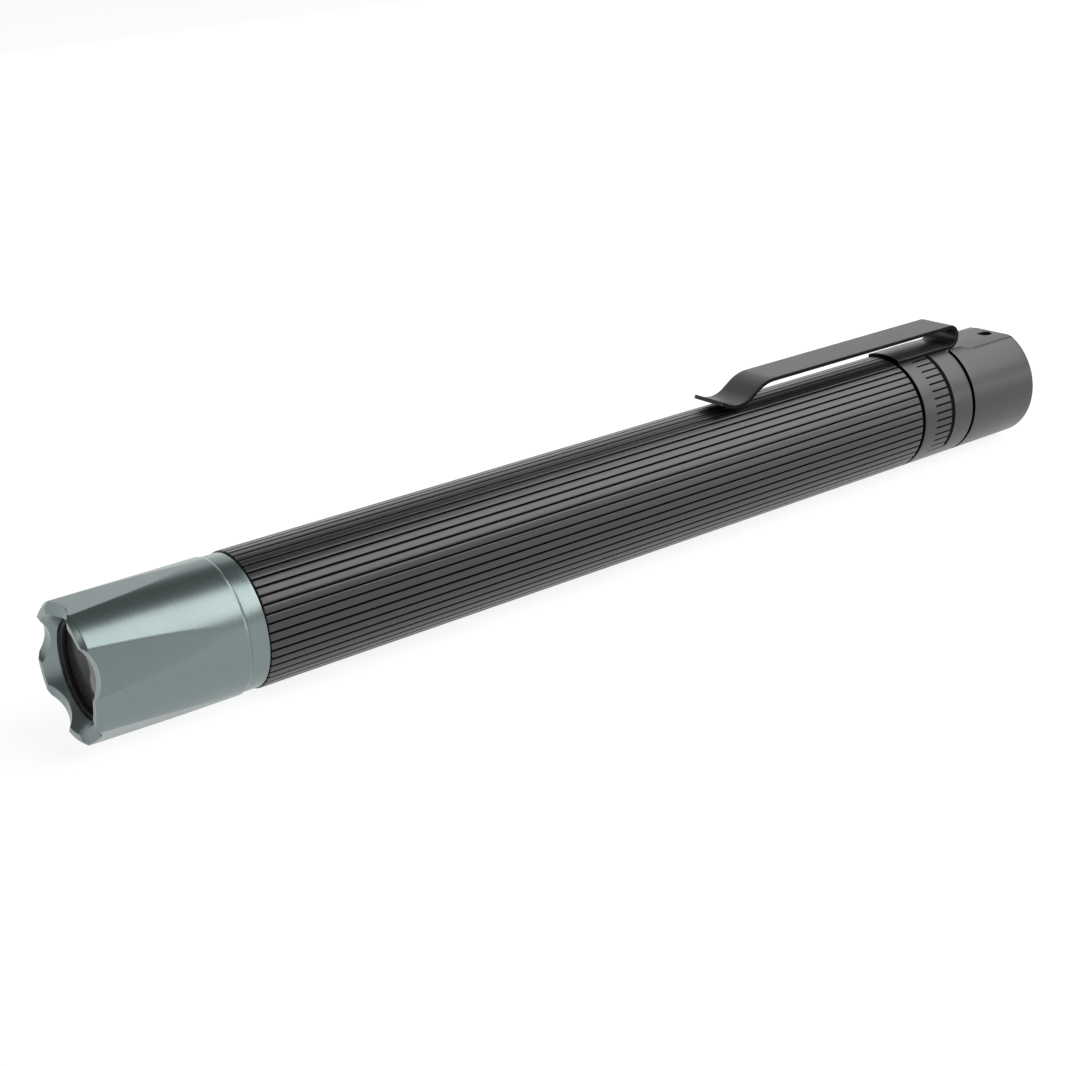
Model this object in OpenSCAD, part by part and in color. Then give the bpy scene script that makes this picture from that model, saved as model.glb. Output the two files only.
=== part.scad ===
// Slim pocket flashlight for two cells in line, with a sliding bezel, a screw-on
// tail, a push button and a folded spring clip. The beam leaves towards -X.

/* [Cells and tube] */
// Diameter of one cell
cell_d = 14.5; // [13.5:0.1:15.5]
// Length of one cell with its nub
cell_len = 50.5; // [44:0.5:55]
// Diameter of a cell's nub
nub_d = 5.5; // [4:0.1:7]
// Height of a cell's nub
nub_h = 1; // [0.6:0.1:1.6]
// Gap all round a cell in the tube
cell_gap = 0.15; // [0.1:0.05:0.4]
// Wall of the tube
tube_wall = 1.4; // [1.3:0.05:2.2]
// Gap between the cells and the threaded ends at both sides
cell_end_gap = 0.4; // [0.3:0.1:1.5]
// Lengthwise grooves round the tube
groove_count = 48; // [24:4:60]
// Width of a groove
groove_w = 0.25; // [0.15:0.05:0.4]
// Depth of a groove
groove_depth = 0.26; // [0.1:0.02:0.3]
// Turn of the first groove from the clip's middle
groove_turn = 1.5; // [0:0.5:6]

/* [Bezel] */
// Length of the bezel
bezel_len = 19.75; // [19:0.25:24]
// Flat facets round the bezel
facet_count = 5; // [4:1:6]
// Depth of a facet at its front end
facet_depth = 0.53; // [0.3:0.01:0.7]
// Length of a facet
facet_len = 15.7; // [12:0.1:17]
// Radius of a scallop in the rim
scallop_r = 4.75; // [3.5:0.05:6]
// Depth of a scallop
scallop_depth = 1.18; // [0.6:0.02:1.3]
// Chamfer round the bezel's front
bezel_chamfer = 0.55; // [0.3:0.05:0.8]
// Radius of the opening at the lip
lip_r = 6.16; // [5.8:0.02:6.3]
// Depth of the cone inside the rim
cone_depth = 1.76; // [1.4:0.02:2]
// Thickness of the lip behind the cone
lip_t = 0.34; // [0.3:0.02:0.8]
// Wall of the bezel round the lens
bezel_wall = 1.54; // [1.4:0.02:2]
// Step in the wall that meets the stop ring
stop_step = 0.2; // [0.15:0.05:0.4]
// Travel of the bezel when the beam is focused
focus_travel = 4; // [2:0.5:4.5]

/* [Lens] */
// Thickness of the black gasket
gasket_t = 0.7; // [0.5:0.1:1]
// Radius of the gasket's opening
gasket_r = 5.85; // [5.4:0.05:6]
// Thickness of the lens's rim
lens_rim_t = 1.2; // [0.8:0.1:1.6]
// Radius of the lens's rounded back
lens_back_r = 5.4; // [4.5:0.1:5.5]
// Height of the lens's rounded back
lens_back_h = 2.6; // [1.5:0.1:2.8]
// Length of the ring behind the lens
retainer_len = 1.6; // [1:0.1:2]

/* [Neck] */
// Length of the neck's visible flange
flange_len = 2.3; // [1.5:0.1:4]
// Depth of the flange below the tube
flange_depth = 0.33; // [0.2:0.01:0.4]
// Gap between the flange and the tube
flange_gap = 0.2; // [0.1:0.05:0.4]
// Gap between the bezel and the flange
bezel_seam = 0.05; // [0.03:0.01:0.2]
// Distance from the bezel's rim to the neck's front end
neck_start = 7; // [6.8:0.1:7.4]
// Depth of the pocket in front of the light source's floor
lamp_pocket = 3.6; // [3:0.1:4]
// Thickness of that floor
floor_t = 2; // [1.8:0.1:2.4]
// Length of the thread between neck and tube
neck_thread = 5.3; // [5:0.1:8]
// Wall of the neck round the driver's cavity
cavity_wall = 1.3; // [1.1:0.1:2]

/* [Tail] */
// Width of the gap between tube and collar
ring_gap = 0.5; // [0.3:0.05:0.8]
// Depth of the rings
ring_depth = 0.4; // [0.2:0.05:0.45]
// Smooth band in front of the ticks
front_band = 2.6; // [1:0.1:4]
// Length of a tick
tick_len = 3.3; // [2:0.1:5]
// Depth of a tick
tick_depth = 0.2; // [0.1:0.02:0.25]
// Ticks on each side of the middle one
tick_side = 17; // [8:1:20]
// Width of the ring that closes the ticks
tick_ring_w = 0.5; // [0.3:0.05:0.8]
// Smooth band behind the ticks
rear_band = 4.2; // [4:0.1:6]
// Width of the seam in front of the cap
seam_w = 0.45; // [0.3:0.05:0.8]
// Length of the tail cap
cap_len = 13.95; // [13.5:0.1:16]
// Length of the thread between collar and tube
tail_thread = 6.3; // [5.5:0.1:6.5]
// Length of the collar's sleeve inside the cap
cap_sleeve = 4; // [3:0.1:4.1]
// Wall of the cap's rim round the button
rim_wall = 2.6; // [2.3:0.1:2.8]
// Depth of the rim
rim_depth = 3.7; // [3.2:0.1:4]
// Thickness of the cap's end wall
end_wall = 2.5; // [2.2:0.1:2.6]
// Depth of the flat below the body
flat_depth = 1.1; // [0.8:0.05:1.15]
// Radius of the flat's round front end
flat_end_r = 4.45; // [4:0.05:5]
// Distance from the seam to the middle of that round end
flat_end_at = 5.8; // [5:0.1:6.5]
// Radius of the lanyard hole
lanyard_r = 1.1; // [0.8:0.05:1.3]
// Distance from the lanyard hole to the tail's end
lanyard_at = 1.85; // [1.6:0.05:2]
// Depth that the button lies below the rim
button_sink = 0.8; // [0.4:0.1:1.4]
// Radius of the button
button_r = 4.5; // [3.5:0.1:4.6]
// Travel of the button
press_travel = 1.2; // [0.6:0.1:1.4]

/* [Clip] */
// Width of the spring strip
clip_w = 6.14; // [5:0.02:7]
// Thickness of the spring strip
clip_t = 0.56; // [0.4:0.02:0.7]
// Outer radius of the bend at the tail
bend_r = 1.89; // [1.7:0.01:2.1]
// Distance from the cap's front to the middle of the bend
bend_at = 0.56; // [0.4:0.02:0.9]
// Distance from the bend to the foot of the nose
nose_reach = 44.12; // [36:0.02:48]
// Outer radius where the strap turns down
crest_r = 6.2; // [4:0.1:8]
// Inner radius where the nose turns up
nose_r = 4.4; // [3:0.1:6]
// Slope between strap and nose
strap_slope = 33; // [28:1:40]
// Slope of the lip
lip_slope = 26; // [20:1:36]
// Length of the lip's straight end
lip_len = 1.5; // [0.8:0.1:3]
// Gap between nose and tube
nose_gap = 0.05; // [0.03:0.01:0.3]
// Depth that the round leg is let into the collar
leg_sink = 0.15; // [0.1:0.01:0.25]
// Gap under the round leg
leg_gap = 0.03; // [0.02:0.01:0.1]
// Length of the leg's flat part, from the bend
leg_flat = 3.32; // [2.8:0.02:3.6]
// Width of the foot between the leg and its slot
foot_w = 4; // [3:0.1:5]
// Free angle of the bend between leg and strap
bend_free = 9; // [7:0.5:12]
// Gap beside the leg in its slot
slot_gap = 0.08; // [0.05:0.01:0.2]

/* [Fits] */
// Radial clearance of a thread
thread_gap = 0.05; // [0.03:0.01:0.1]
// Radial clearance of a sliding fit
slide_gap = 0.06; // [0.03:0.01:0.1]
// Radial clearance of a seated disc or ring
seat_gap = 0.06; // [0.03:0.01:0.1]
// Clearance of a rubber ring in its seat
seal_gap = 0.02; // [0.01:0.01:0.05]
// Thickness of a rubber ring
seal_d = 1; // [0.8:0.1:1]
// Wall left outside a thread, under the grooves
thread_wall = 0.64; // [0.55:0.01:0.8]

/* [Hidden] */

// Smoothness of round solids
round_fn = 96;
small_fn = 48;
// Cuts run this far past the solid
past = 0.5;

// Radii of the body
spigot_wall = 1.55;
bore_r = cell_d / 2 + cell_gap;
body_r = bore_r + tube_wall;
thread_r = body_r - groove_depth - thread_wall;
spigot_r = thread_r - thread_gap;
seat_r = spigot_r - spigot_wall;
groove_pitch = 360 / groove_count;

// Places along the axis, from the bezel's rim
neck_x = bezel_len + bezel_seam;
tube_x = neck_x + flange_len + flange_gap;
cells_x = tube_x + neck_thread + cell_end_gap - nub_h;
cells_end_x = cells_x + 2 * cell_len;
tube_end_x = cells_end_x + cell_end_gap + tail_thread;
collar_x = tube_end_x + ring_gap;
ticks_x = collar_x + front_band;
tick_ring_x = ticks_x + tick_len;
seam_x = tick_ring_x + tick_ring_w + rear_band;
cap_x = seam_x + seam_w;
total_len = cap_x + cap_len;

// Bezel and lens
bezel_bore_r = body_r - bezel_wall;
lip_x = cone_depth + lip_t;
gasket_x = lip_x + gasket_t;
lens_x = gasket_x + lens_rim_t;
retainer_x = lens_x + retainer_len;
rim_land = 0.85;
bezel_edge = 0.33;
lens_r = bezel_bore_r - seat_gap;
lens_play = 0.2;
lens_ball_r = (pow(lens_back_r, 2) + pow(lens_back_h, 2)) / (2 * lens_back_h);
facet_tilt = atan(facet_depth / facet_len);

// Neck and what it holds
sleeve_bore_r = bezel_bore_r - stop_step;
sleeve_r = sleeve_bore_r - slide_gap;
floor_x = neck_start + lamp_pocket;
floor_end_x = floor_x + floor_t;
stop_ring_t = 0.7;
stop_ring_ahead = 0.4;
stop_ring_x = floor_end_x + stop_ring_ahead;
stop_ring_depth = 0.45;
stop_ring_mouth = 3;
stop_x = stop_ring_x + stop_ring_t + focus_travel + slide_gap;
cavity_r = sleeve_r - cavity_wall;
shoulder_step = 0.3;
neck_shoulder_r = body_r - flange_depth - shoulder_step;
driver_seat_depth = 0.4;
driver_seat_x = tube_x + driver_seat_depth;
board_t = 1;
board_r = seat_r - seat_gap;
holding_ring_t = 1.3;
holding_ring_wall = 1;
wire_r = 0.45;
wire_hole_r = 0.8;
wire_y = 3.4;
chip_w = 3.5;
chip_t = 0.7;
dome_r = 1.25;
driver_x = driver_seat_x + board_t;

// Parts on the driver's board: a choke, a chip and two capacitors
choke_r = 1.9;
choke_h = 2.4;
choke_up = 2.4;
part_h = 1.1;
driver_chip_w = 3.2;
driver_chip_down = 0.2;
capacitor_w = 1;
capacitor_len = 1.8;
capacitor_up = 1.2;
capacitor_y = 4.1;

// Seal rings
seal_r = seal_d / 2;
seal_side = 0.1;
seal_seat_w = seal_d + 2 * seal_side;
seal_back = 1.5;
focus_seal_x = floor_x + floor_t / 2;
button_seal_r = 0.45;

// Springs, each with 8 rings a turn and 6 sides
spring_steps = 8;
spring_sides = 6;
front_wire_r = 0.25;
front_coil_r = 2;
front_turns = 2.5;
tail_wire_r = 0.3;
tail_coil_r = 3.4;
tail_turns = 5;
spring_gap = 0.05;

// Collar, cap and switch
switch_seat_depth = 0.7;
switch_ledge = 0.9;
flat_cover = 0.5;
switch_seat_x = collar_x + switch_seat_depth;
collar_bore_r = seat_r - switch_ledge;
sleeve_out_r = body_r - flat_depth - flat_cover;
cap_bore_r = sleeve_out_r + seat_gap;
sleeve_end_x = cap_x + cap_sleeve;
rim_r = body_r - rim_wall;
rim_x = total_len - rim_depth;
wall_x = rim_x - end_wall;
cap_step = 0.6;
cap_cavity_r = sleeve_out_r - cap_step;
cap_edge = 0.15;
rim_edge = 0.4;
switch_board_t = 1.2;
switch_x = switch_seat_x + switch_board_t;
switch_len = 7;
switch_end_x = switch_x + switch_len;
plunger_r = 1.5;
plunger_grip = 1.5;
plunger_spare = 0.4;
plunger_bore = plunger_grip + press_travel + plunger_spare;
switch_ring_wall = 0.5;
switch_ring_len = 1.6;
switch_ring_r = seat_r - seat_gap - switch_ring_wall;
switch_w = (switch_ring_r - seat_gap) * sqrt(2);
button_hole_r = button_r + slide_gap;
shoulder_play = 0.9;
shoulder_r = cap_cavity_r - shoulder_play;
shoulder_t = 1.6;
hub_r = 2.5;
hub_len = 3.5;
button_edge = 0.6;
shoulder_x = wall_x - shoulder_t;
hub_x = shoulder_x - hub_len;
button_seal_x = wall_x + end_wall / 2;

// Clip
flat_h = body_r - flat_depth;
leg_seat_r = body_r - leg_sink;
leg_r = leg_seat_r + leg_gap;
leg_h = sqrt(pow(leg_seat_r, 2) - pow(clip_w / 2, 2));
bend_h = leg_h + bend_r;
clip_h = leg_h + 2 * bend_r;
bend_x = cap_x + bend_at;
nose_x = bend_x - nose_reach;
nose_h = body_r + nose_gap + clip_t;
strap_drop = clip_h - nose_h - (crest_r + nose_r) * (1 - cos(strap_slope));
strap_run = strap_drop / sin(strap_slope);
crest_x = nose_x + (crest_r + nose_r) * sin(strap_slope) + strap_run * cos(strap_slope);
bend_low = -35;
leg_x = bend_x - leg_flat;
leg_lap = 1;
leg_turn = asin((clip_w / 2 + slot_gap + groove_w) / body_r);
bend_lap = 12;
arc_steps = 8;

// Colours
teal = [0.43, 0.49, 0.48];
black_metal = [0.16, 0.16, 0.17];
spring_steel = [0.3, 0.3, 0.31];
rubber = [0.06, 0.06, 0.06];
glass = [0.35, 0.35, 0.37];
board_green = [0.1, 0.35, 0.2];
plain_steel = [0.7, 0.7, 0.72];
cell_wrap = [0.25, 0.45, 0.6];

// Puts the origin under the middle of the part, on the surface that it lies on
module lay() { translate([-total_len / 2, 0, body_r]) children(); }

// Turns an outline of [radius, place] about the X axis, from +Y towards +Z
module turned(outline, sweep = 360)
    rotate([90, 0, 90]) rotate_extrude(angle = sweep, $fn = round_fn) polygon(outline);

module rod(from_x, to_x, r, fn = round_fn)
    translate([from_x, 0, 0]) rotate([0, 90, 0]) cylinder(h = to_x - from_x, r = r, $fn = fn);

module pipe(from_x, to_x, r_out, r_in)
    turned([[r_in, from_x], [r_out, from_x], [r_out, to_x], [r_in, to_x]]);

// A rubber ring of wire radius ring_r that seals outwards against a bore
module seal_ring(at_x, outer_r, ring_r = seal_r)
    rotate([90, 0, 90]) translate([0, 0, at_x])
        rotate_extrude($fn = round_fn) translate([outer_r - ring_r, 0]) circle(r = ring_r, $fn = small_fn);

// The groove that holds such a ring
module seal_seat(at_x, bore)
    pipe(at_x - seal_seat_w / 2, at_x + seal_seat_w / 2, bore + past, bore - seal_gap - seal_d - seal_gap);

// A box that stands at height h above the axis, turned about the axis
module slit(turn, from_x, to_x, w, h, tall = body_r)
    rotate([turn, 0, 0]) translate([from_x, -w / 2, h]) cube([to_x - from_x, w, tall]);

// A round strip of width w on top of the axis
module band(from_x, to_x, r_out, r_in, w) intersection() {
    pipe(from_x, to_x, r_out, r_in);
    slit(0, from_x - past, to_x + past, w, 0, 2 * body_r);
}

function arc_points(cx, cy, r, from_a, to_a) =
    [for (i = [0:arc_steps]) let (a = from_a + (to_a - from_a) * i / arc_steps)
        [cx + r * cos(a), cy + r * sin(a)]];

// Middle line of a coil about the X axis
function coil_line(from_x, to_x, r, turns) = [for (i = [0:turns * spring_steps])
    let (a = 360 * i / spring_steps)
    [from_x + (to_x - from_x) * i / (turns * spring_steps), r * cos(a), r * sin(a)]];

function coil_ring(i, c, wire) = [for (j = [0:spring_sides - 1])
    let (a = 360 * i / spring_steps, b = 360 * (j + 0.5) / spring_sides)
    [c[0] + wire * sin(b), c[1] + wire * cos(b) * cos(a), c[2] + wire * cos(b) * sin(a)]];

// Least gap between one turn of a coil and the turns beside it
function coil_gap(line, wire) = min([for (i = [0:len(line) - 1])
    for (j = [i + spring_steps / 2:1:len(line) - 1]) norm(line[j] - line[i])]) - 2 * wire;

module coil(line, wire) {
    points = [for (i = [0:len(line) - 1]) each coil_ring(i, line[i], wire)];
    last = (len(line) - 1) * spring_sides;
    sides = [for (i = [0:len(line) - 2]) for (j = [0:spring_sides - 1])
        let (a = i * spring_sides + j, b = i * spring_sides + (j + 1) % spring_sides)
        each [[a, b, b + spring_sides], [a, b + spring_sides, a + spring_sides]]];
    start = [for (j = [1:spring_sides - 2]) [0, j + 1, j]];
    end = [for (j = [1:spring_sides - 2]) [last, last + j, last + j + 1]];
    polyhedron(points, concat(sides, start, end));
}

module bezel() lay() color(teal) difference() {
    turned([[lip_r, cone_depth], [body_r - bezel_chamfer - rim_land, 0], [body_r - bezel_chamfer, 0],
        [body_r, bezel_chamfer], [body_r, bezel_len - bezel_edge], [body_r - bezel_edge, bezel_len],
        [sleeve_bore_r, bezel_len], [sleeve_bore_r, stop_x], [bezel_bore_r, stop_x],
        [bezel_bore_r, lip_x], [lip_r, lip_x]]);
    for (i = [0:facet_count - 1]) {
        rotate([360 * i / facet_count, 0, 0]) translate([bezel_chamfer, 0, body_r - facet_depth])
            rotate([0, -facet_tilt, 0]) translate([-body_r, -body_r, 0])
                cube([3 * body_r, 2 * body_r, body_r]);
        rotate([360 * i / facet_count, 0, 0]) translate([scallop_depth - scallop_r, 0, 0])
            cylinder(h = 2 * body_r, r = scallop_r, $fn = round_fn);
    }
}

module lens_gasket() lay() color(rubber) pipe(lip_x, gasket_x, bezel_bore_r - seat_gap, gasket_r);

module lens() lay() color(glass) union() {
    rod(gasket_x, lens_x, lens_r);
    intersection() {
        translate([lens_x + lens_back_h - lens_ball_r, 0, 0]) sphere(r = lens_ball_r, $fn = round_fn);
        rod(lens_x - lens_rim_t / 2, lens_x + lens_back_h + past, lens_back_r);
    }
}

module lens_retainer() lay() color(rubber)
    pipe(lens_x, retainer_x, bezel_bore_r - seat_gap, lens_back_r + lens_play);

module neck() lay() color(teal) difference() {
    turned([[0, neck_start], [sleeve_r, neck_start], [sleeve_r, neck_x],
        [body_r - flange_depth, neck_x], [body_r - flange_depth, tube_x - flange_gap],
        [neck_shoulder_r, tube_x - flange_gap], [neck_shoulder_r, tube_x],
        [spigot_r, tube_x], [spigot_r, tube_x + neck_thread], [0, tube_x + neck_thread]]);
    rod(neck_start - past, floor_x, seat_r);
    rod(floor_end_x, driver_seat_x + past, cavity_r);
    rod(driver_seat_x, tube_x + neck_thread + past, seat_r);
    seal_seat(focus_seal_x, bezel_bore_r);
    seal_seat(tube_x + seal_back, thread_r);
    pipe(stop_ring_x - seal_gap, stop_ring_x + stop_ring_t + seal_gap, body_r,
        sleeve_r - stop_ring_depth);
    for (side = [-1, 1])
        translate([0, side * wire_y, 0]) rod(floor_x - past, floor_end_x + past, wire_hole_r, small_fn);
}

module focus_seal_ring() lay() color(rubber) seal_ring(focus_seal_x, bezel_bore_r - seal_gap);

module stop_ring() lay() color(plain_steel) difference() {
    pipe(stop_ring_x, stop_ring_x + stop_ring_t, bezel_bore_r - slide_gap,
        sleeve_r - stop_ring_depth + seal_gap);
    slit(180, stop_ring_x - past, stop_ring_x + stop_ring_t + past, stop_ring_mouth, 0);
}

module led_board() lay() color("silver") rod(floor_x - board_t, floor_x, board_r);

module led_emitter() lay() color("gold") union() {
    translate([floor_x - board_t - chip_t, -chip_w / 2, -chip_w / 2]) cube([chip_t, chip_w, chip_w]);
    intersection() {
        translate([floor_x - board_t - chip_t, 0, 0]) sphere(r = dome_r, $fn = small_fn);
        rod(floor_x - board_t - chip_t - 2 * dome_r, floor_x - board_t - chip_t / 2, 2 * dome_r);
    }
}

module led_wires() lay() color("red") for (side = [-1, 1])
    translate([0, side * wire_y, 0]) rod(floor_x, driver_seat_x, wire_r, small_fn);

module driver_board() lay() color(board_green) rod(driver_seat_x, driver_x, board_r);

module driver_parts() lay() color("dimgray") {
    translate([0, 0, choke_up]) rod(driver_seat_x - choke_h, driver_seat_x, choke_r, small_fn);
    translate([driver_seat_x - part_h, -driver_chip_w / 2, -driver_chip_w - driver_chip_down])
        cube([part_h, driver_chip_w, driver_chip_w]);
    for (side = [-1, 1])
        translate([driver_seat_x - part_h, side * capacitor_y - capacitor_w / 2, capacitor_up])
            cube([part_h, capacitor_w, capacitor_len]);
}

module driver_ring() lay() color("silver")
    pipe(driver_x, driver_x + holding_ring_t, seat_r - seat_gap, seat_r - seat_gap - holding_ring_wall);

front_line = coil_line(driver_x + front_wire_r + spring_gap, cells_x - front_wire_r - spring_gap,
    front_coil_r, front_turns);
tail_line = coil_line(cells_end_x + tail_wire_r + spring_gap,
    switch_seat_x - tail_wire_r - spring_gap, tail_coil_r, tail_turns);
echo(front_spring_least_gap = coil_gap(front_line, front_wire_r));
echo(tail_spring_least_gap = coil_gap(tail_line, tail_wire_r));

module front_spring() lay() color(plain_steel) coil(front_line, front_wire_r);

module neck_seal_ring() lay() color(rubber) seal_ring(tube_x + seal_back, thread_r - seal_gap);

module body_tube() lay() color(black_metal) difference() {
    edge = 0.2;
    turned([[thread_r, tube_x], [body_r - edge, tube_x], [body_r, tube_x + edge],
        [body_r, tube_end_x - edge], [body_r - edge, tube_end_x], [thread_r, tube_end_x],
        [thread_r, tube_end_x - tail_thread - past], [bore_r, tube_end_x - tail_thread - past],
        [bore_r, tube_x + neck_thread + past], [thread_r, tube_x + neck_thread + past]]);
    for (i = [0:groove_count - 1])
        slit(groove_turn + i * groove_pitch, tube_x - past, tube_end_x + past, groove_w,
            body_r - groove_depth);
}

// One cell with its nub towards the bezel
module cell(from_x) {
    edge = 0.5;
    cell_r = cell_d / 2;
    turned([[0, from_x], [nub_d / 2, from_x], [nub_d / 2, from_x + nub_h],
        [cell_r - edge, from_x + nub_h], [cell_r, from_x + nub_h + edge],
        [cell_r, from_x + cell_len - edge], [cell_r - edge, from_x + cell_len], [0, from_x + cell_len]]);
}

module cell_front() lay() color(cell_wrap) cell(cells_x);

module cell_rear() lay() color(cell_wrap) cell(cells_x + cell_len);

module tail_seal_ring() lay() color(rubber) seal_ring(tube_end_x - seal_back, thread_r - seal_gap);

module tail_collar() lay() color(black_metal) difference() {
    turned([[collar_bore_r, tube_end_x - tail_thread], [spigot_r, tube_end_x - tail_thread],
        [spigot_r, tube_end_x], [body_r - ring_depth, tube_end_x], [body_r - ring_depth, collar_x],
        [body_r, collar_x], [body_r, seam_x], [body_r - ring_depth, seam_x],
        [body_r - ring_depth, cap_x], [sleeve_out_r, cap_x], [sleeve_out_r, sleeve_end_x],
        [seat_r, sleeve_end_x], [seat_r, switch_seat_x], [collar_bore_r, switch_seat_x]]);
    seal_seat(tube_end_x - seal_back, thread_r);
    // No tick lies under the leg
    for (i = [-tick_side:tick_side]) if (abs(groove_turn + i * groove_pitch) > leg_turn)
        slit(groove_turn + i * groove_pitch, ticks_x, tick_ring_x + tick_ring_w / 2, groove_w,
            body_r - tick_depth);
    rotate([90 + groove_turn - tick_side * groove_pitch, 0, 0])
        turned([[body_r - tick_depth, tick_ring_x], [body_r + past, tick_ring_x],
            [body_r + past, tick_ring_x + tick_ring_w], [body_r - tick_depth, tick_ring_x + tick_ring_w]],
            2 * tick_side * groove_pitch);
    band(tube_end_x, leg_x, body_r + past, leg_seat_r, clip_w + 2 * slot_gap);
    slit(0, leg_x - slot_gap, cap_x + past, clip_w + 2 * slot_gap, flat_h);
}

module tail_cap() lay() color(black_metal) difference() {
    turned([[cap_bore_r, cap_x], [body_r - cap_edge, cap_x], [body_r, cap_x + cap_edge],
        [body_r, total_len - rim_edge], [body_r - rim_edge, total_len], [rim_r, total_len],
        [rim_r, rim_x], [button_hole_r, rim_x], [button_hole_r, wall_x], [cap_cavity_r, wall_x],
        [cap_cavity_r, sleeve_end_x + seat_gap], [cap_bore_r, sleeve_end_x + seat_gap]]);
    // The flat, with its round front end
    translate([cap_x + flat_end_at, 0, flat_h]) cylinder(h = body_r, r = flat_end_r, $fn = round_fn);
    slit(0, cap_x + flat_end_at, total_len + past, 2 * body_r, flat_h);
    slit(0, cap_x - past, cap_x + flat_end_at, clip_w + 2 * slot_gap, flat_h);
    translate([total_len - lanyard_at, 0, 0]) cylinder(h = body_r, r = lanyard_r, $fn = small_fn);
    pipe(button_seal_x - button_seal_r - seal_side, button_seal_x + button_seal_r + seal_side,
        button_r + 2 * button_seal_r + 2 * seal_gap, button_r);
}

module tail_spring() lay() color(plain_steel) coil(tail_line, tail_wire_r);

module switch_board() lay() color(board_green) rod(switch_seat_x, switch_x, board_r);

module switch_body() lay() color("dimgray") difference() {
    translate([switch_x, -switch_w / 2, -switch_w / 2]) cube([switch_len, switch_w, switch_w]);
    rod(switch_end_x - plunger_bore, switch_end_x + past, plunger_r + slide_gap, small_fn);
}

module switch_plunger() lay() color("ivory") rod(switch_end_x - plunger_grip, hub_x, plunger_r, small_fn);

module switch_ring() lay() color("silver")
    pipe(switch_x, switch_x + switch_ring_len, seat_r - seat_gap, switch_ring_r);

module tail_button() lay() color(rubber) turned([[0, hub_x], [hub_r, hub_x], [hub_r, shoulder_x],
    [shoulder_r, shoulder_x], [shoulder_r, wall_x], [button_r, wall_x],
    [button_r, total_len - button_sink - button_edge], [button_r - button_edge, total_len - button_sink],
    [0, total_len - button_sink]]);

module button_seal() lay() color(rubber)
    seal_ring(button_seal_x, button_r + seal_gap + 2 * button_seal_r, button_seal_r);

// A stretch of the clip's bend: 0 degrees faces the tail, and 90 degrees up
module bend(start_a, sweep)
    translate([bend_x, 0, bend_h]) rotate([90, 0, 0]) rotate([0, 0, start_a])
        rotate_extrude(angle = sweep, $fn = round_fn)
            translate([bend_r - clip_t, -clip_w / 2]) square([clip_t, clip_w]);

// Middle of the strip at an angle of the bend
function bend_middle(a) =
    [bend_x + (bend_r - clip_t / 2) * cos(a), bend_h + (bend_r - clip_t / 2) * sin(a)];

// The strip's whole width over an outline of [place, height]
module strip(outline) translate([0, clip_w / 2, 0]) rotate([90, 0, 0])
    linear_extrude(clip_w) polygon(outline);

// Edge of the strap, dip below its top side: lip, nose, slope and crest
function strap_edge(dip) = let (nose = nose_r + dip, crest = crest_r - dip, nose_mid = nose_h + nose_r,
    crest_mid = clip_h - crest_r, tip = [nose_x - nose * sin(lip_slope), nose_mid - nose * cos(lip_slope)])
    concat([tip + lip_len * [-cos(lip_slope), sin(lip_slope)]],
    arc_points(nose_x, nose_mid, nose, 270 - lip_slope, 270 + strap_slope),
    arc_points(crest_x, crest_mid, crest, 90 + strap_slope, 90), [[bend_x, clip_h - dip]]);

module clip_arm() lay() color(spring_steel) union() {
    top = strap_edge(0);
    under = strap_edge(clip_t);
    strip(concat(top, [bend_middle(90 - bend_lap)], [for (i = [len(under) - 1:-1:0]) under[i]]));
    bend(90, bend_low - 90);
}

module clip_foot() lay() color(spring_steel) union() {
    band(collar_x, leg_x + leg_lap, leg_r + clip_t, leg_r, clip_w);
    strip([[leg_x, leg_h], [bend_x, leg_h], bend_middle(bend_lap - 90), [bend_x, leg_h + clip_t],
        [leg_x, leg_h + clip_t]]);
    slit(0, leg_x, seam_x, foot_w, flat_h, leg_h - flat_h + clip_t / 2);
    bend(-90, bend_low - bend_free + 90);
}

bezel();
lens_gasket();
lens();
lens_retainer();
neck();
focus_seal_ring();
stop_ring();
led_board();
led_emitter();
led_wires();
driver_board();
driver_parts();
driver_ring();
front_spring();
neck_seal_ring();
body_tube();
cell_front();
cell_rear();
tail_seal_ring();
tail_collar();
tail_cap();
tail_spring();
switch_board();
switch_body();
switch_plunger();
switch_ring();
tail_button();
button_seal();
clip_arm();
clip_foot();
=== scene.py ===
import math
import bmesh
import bpy
import numpy as np
from mathutils import Matrix, Vector


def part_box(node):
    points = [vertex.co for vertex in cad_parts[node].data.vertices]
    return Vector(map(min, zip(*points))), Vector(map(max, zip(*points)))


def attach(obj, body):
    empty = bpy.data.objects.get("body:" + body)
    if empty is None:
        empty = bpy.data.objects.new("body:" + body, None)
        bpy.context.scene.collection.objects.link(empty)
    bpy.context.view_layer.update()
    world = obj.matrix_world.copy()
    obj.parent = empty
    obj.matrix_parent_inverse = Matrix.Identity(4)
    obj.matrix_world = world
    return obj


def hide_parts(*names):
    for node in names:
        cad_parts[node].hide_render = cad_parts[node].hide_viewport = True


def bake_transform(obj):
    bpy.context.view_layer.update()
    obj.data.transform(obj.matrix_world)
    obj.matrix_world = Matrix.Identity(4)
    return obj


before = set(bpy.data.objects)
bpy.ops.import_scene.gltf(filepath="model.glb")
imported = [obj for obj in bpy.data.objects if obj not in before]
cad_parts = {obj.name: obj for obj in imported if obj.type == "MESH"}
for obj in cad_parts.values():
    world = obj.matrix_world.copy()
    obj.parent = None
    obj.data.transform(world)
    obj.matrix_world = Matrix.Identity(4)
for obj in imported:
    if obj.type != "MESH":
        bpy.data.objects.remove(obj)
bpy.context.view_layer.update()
print("frame loaded:", len(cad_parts), "nodes")

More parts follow.
